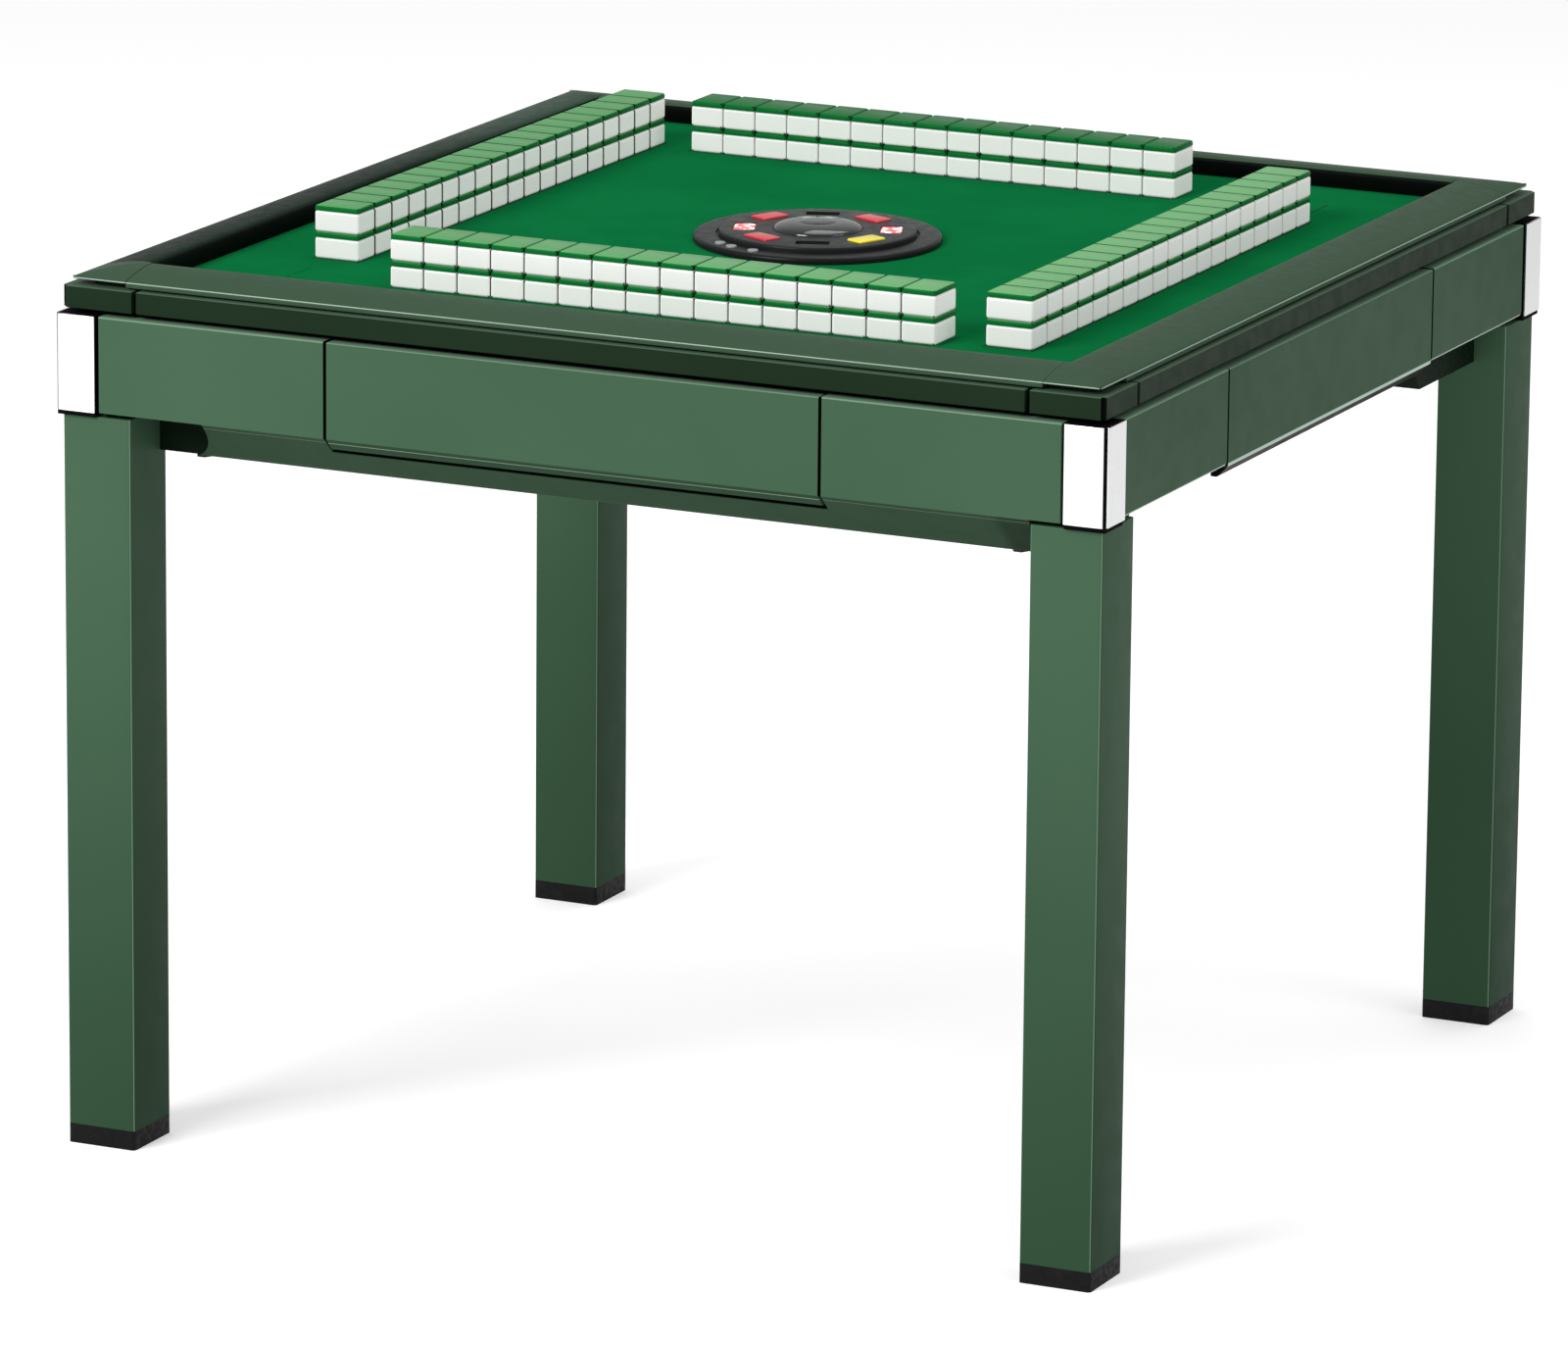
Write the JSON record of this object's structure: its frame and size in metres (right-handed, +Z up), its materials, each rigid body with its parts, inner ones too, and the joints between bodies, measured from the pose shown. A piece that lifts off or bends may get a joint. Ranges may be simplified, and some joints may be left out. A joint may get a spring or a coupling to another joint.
{
  "type": "mahjong table with drawers",
  "caption": "Square mahjong table on tube legs with a cloth playing surface, rising tile walls, a round control unit in the middle and a shallow drawer in each side.",
  "frame": {"origin": "on the floor under the centre of the table", "axes": "+Z up, -Y towards the front, +X to the right seen from the front"},
  "size_m": [0.96, 0.96, 0.789],
  "materials": {
    "painted_green": "satin green paint",
    "foot_rubber": "matte black",
    "dark_steel": "satin dark paint",
    "bolt_steel": "black oxide",
    "post_plastic": "matte",
    "bright_cover": "polished near-white",
    "base_board": "black laminate",
    "rail_wood": "dark stain",
    "runner_plastic": "matte",
    "lid_dark_green": "satin very dark green",
    "rim_grey_green": "satin dark grey-green",
    "board_wood": "plain board",
    "play_cloth": "short vivid green pile",
    "bush_brass": "turned",
    "actuator_aluminium": "satin",
    "sleeve_plastic": "matte",
    "motor_steel": "satin",
    "control_box": "matte",
    "inlet_plastic": "matte",
    "turntable_plastic": "matte",
    "roller_rubber": "matte",
    "switch_plastic": "satin black",
    "column_plastic": "matte",
    "centre_charcoal": "satin charcoal",
    "centre_disc_charcoal": "satin charcoal",
    "smoky_dome": "smoky clear",
    "dice_plastic": "polished",
    "lit_window": "lit pink-white",
    "tray_plastic": "matte dark",
    "platform_plastic": "matte green",
    "tile_white": "polished ivory white",
    "tile_green": "polished green",
    "red_pad": "glossy red",
    "yellow_pad": "glossy yellow",
    "round_key": "satin dark"
  },
  "bodies": {
    "frame": {"legs": "painted_green", "rubber_feet": "foot_rubber", "leg_brackets": "dark_steel", "leg_bolts": "bolt_steel", "corner_posts": "post_plastic", "corner_covers": "bright_cover", "base_board": "base_board", "front_back_panels": "painted_green", "side_panels": "painted_green", "top_rails": "rail_wood", "drawer_runners": "runner_plastic", "lid_strips": "lid_dark_green", "lid_corner_blocks": "lid_dark_green", "rim_rails": "rim_grey_green", "rim_corners": "rim_grey_green", "play_board": "board_wood", "play_cloth": "play_cloth", "lift_bushes": "bush_brass", "lift_actuators": "actuator_aluminium", "centre_sleeve": "sleeve_plastic", "turntable_motor": "motor_steel", "control_box": "control_box", "power_inlet": "inlet_plastic"},
    "drawer_front": {"drawer_face_front": "painted_green", "drawer_tray_front": "tray_plastic"},
    "wall_lift_front": {"lift_platform_front": "platform_plastic", "tiles_front": "tile_white", "tile_backs_front": "tile_green"},
    "drawer_right": {"drawer_face_right": "painted_green", "drawer_tray_right": "tray_plastic"},
    "wall_lift_right": {"lift_platform_right": "platform_plastic", "tiles_right": "tile_white", "tile_backs_right": "tile_green"},
    "drawer_back": {"drawer_face_back": "painted_green", "drawer_tray_back": "tray_plastic"},
    "wall_lift_back": {"lift_platform_back": "platform_plastic", "tiles_back": "tile_white", "tile_backs_back": "tile_green"},
    "drawer_left": {"drawer_face_left": "painted_green", "drawer_tray_left": "tray_plastic"},
    "wall_lift_left": {"lift_platform_left": "platform_plastic", "tiles_left": "tile_white", "tile_backs_left": "tile_green"},
    "centre_unit": {"centre_column": "column_plastic", "centre_base": "centre_charcoal", "centre_disc": "centre_disc_charcoal", "dice_dome": "smoky_dome", "dice": "dice_plastic", "lit_windows": "lit_window"},
    "pad_north_east_button": {"pad_north_east": "red_pad"},
    "pad_north_west_button": {"pad_north_west": "red_pad"},
    "pad_south_west_button": {"pad_south_west": "red_pad"},
    "pad_south_east_button": {"pad_south_east": "yellow_pad"},
    "round_key_1_button": {"round_key_1": "round_key"},
    "round_key_2_button": {"round_key_2": "round_key"},
    "round_key_3_button": {"round_key_3": "round_key"},
    "turntable_wheel": {"turntable": "turntable_plastic"},
    "roller": {"drive_roller": "roller_rubber"},
    "rocker": {"rocker_switch": "switch_plastic"}
  },
  "joints": [
    {"name": "drawer_front_slide", "type": "slide", "parent": "frame", "child": "drawer_front", "axis": [0, -1, 0], "range_m": [0, 0.09]},
    {"name": "drawer_right_slide", "type": "slide", "parent": "frame", "child": "drawer_right", "axis": [1, 0, 0], "range_m": [0, 0.09]},
    {"name": "drawer_back_slide", "type": "slide", "parent": "frame", "child": "drawer_back", "axis": [0, 1, 0], "range_m": [0, 0.09]},
    {"name": "drawer_left_slide", "type": "slide", "parent": "frame", "child": "drawer_left", "axis": [-1, 0, 0], "range_m": [0, 0.09]},
    {"name": "wall_lift_front_slide", "type": "slide", "parent": "frame", "child": "wall_lift_front", "axis": [0, 0, 1], "range_m": [-0.052, 0]},
    {"name": "wall_lift_right_slide", "type": "slide", "parent": "frame", "child": "wall_lift_right", "axis": [0, 0, 1], "range_m": [-0.052, 0]},
    {"name": "wall_lift_back_slide", "type": "slide", "parent": "frame", "child": "wall_lift_back", "axis": [0, 0, 1], "range_m": [-0.052, 0]},
    {"name": "wall_lift_left_slide", "type": "slide", "parent": "frame", "child": "wall_lift_left", "axis": [0, 0, 1], "range_m": [-0.052, 0]},
    {"name": "centre_unit_slide", "type": "slide", "parent": "frame", "child": "centre_unit", "axis": [0, 0, 1], "range_m": [0, 0.055]},
    {"name": "turntable_spin", "type": "hinge", "parent": "frame", "child": "turntable_wheel", "pos_m": [0, 0, 0.65], "axis": [0, 0, 1], "continuous": true},
    {"name": "roller_spin", "type": "hinge", "parent": "frame", "child": "roller", "pos_m": [0.20881, -0.20881, 0.65], "axis": [0, 0, 1], "continuous": true},
    {"name": "pad_north_east_press", "type": "slide", "parent": "centre_unit", "child": "pad_north_east_button", "axis": [0, 0, -1], "range_m": [0, 0.0014], "stiffness_N_per_m": 400, "springref_m": -0.0006},
    {"name": "pad_north_west_press", "type": "slide", "parent": "centre_unit", "child": "pad_north_west_button", "axis": [0, 0, -1], "range_m": [0, 0.0014], "stiffness_N_per_m": 400, "springref_m": -0.0006},
    {"name": "pad_south_west_press", "type": "slide", "parent": "centre_unit", "child": "pad_south_west_button", "axis": [0, 0, -1], "range_m": [0, 0.0014], "stiffness_N_per_m": 400, "springref_m": -0.0006},
    {"name": "pad_south_east_press", "type": "slide", "parent": "centre_unit", "child": "pad_south_east_button", "axis": [0, 0, -1], "range_m": [0, 0.0014], "stiffness_N_per_m": 400, "springref_m": -0.0006},
    {"name": "round_key_1_press", "type": "slide", "parent": "centre_unit", "child": "round_key_1_button", "axis": [0, 0, -1], "range_m": [0, 0.0012], "stiffness_N_per_m": 250, "springref_m": -0.0006},
    {"name": "round_key_2_press", "type": "slide", "parent": "centre_unit", "child": "round_key_2_button", "axis": [0, 0, -1], "range_m": [0, 0.0012], "stiffness_N_per_m": 250, "springref_m": -0.0006},
    {"name": "round_key_3_press", "type": "slide", "parent": "centre_unit", "child": "round_key_3_button", "axis": [0, 0, -1], "range_m": [0, 0.0012], "stiffness_N_per_m": 250, "springref_m": -0.0006},
    {"name": "rocker_switch_tilt", "type": "hinge", "parent": "frame", "child": "rocker", "pos_m": [0.02, 0.2885, 0.618], "axis": [1, 0, 0], "range_deg": [0, 12]}
  ],
  "couplings": [
    {"joint": "wall_lift_right_slide", "follows": "wall_lift_front_slide", "ratio": 1},
    {"joint": "wall_lift_back_slide", "follows": "wall_lift_front_slide", "ratio": 1},
    {"joint": "wall_lift_left_slide", "follows": "wall_lift_front_slide", "ratio": 1},
    {"joint": "roller_spin", "follows": "turntable_spin", "ratio": -18.667}
  ]
}
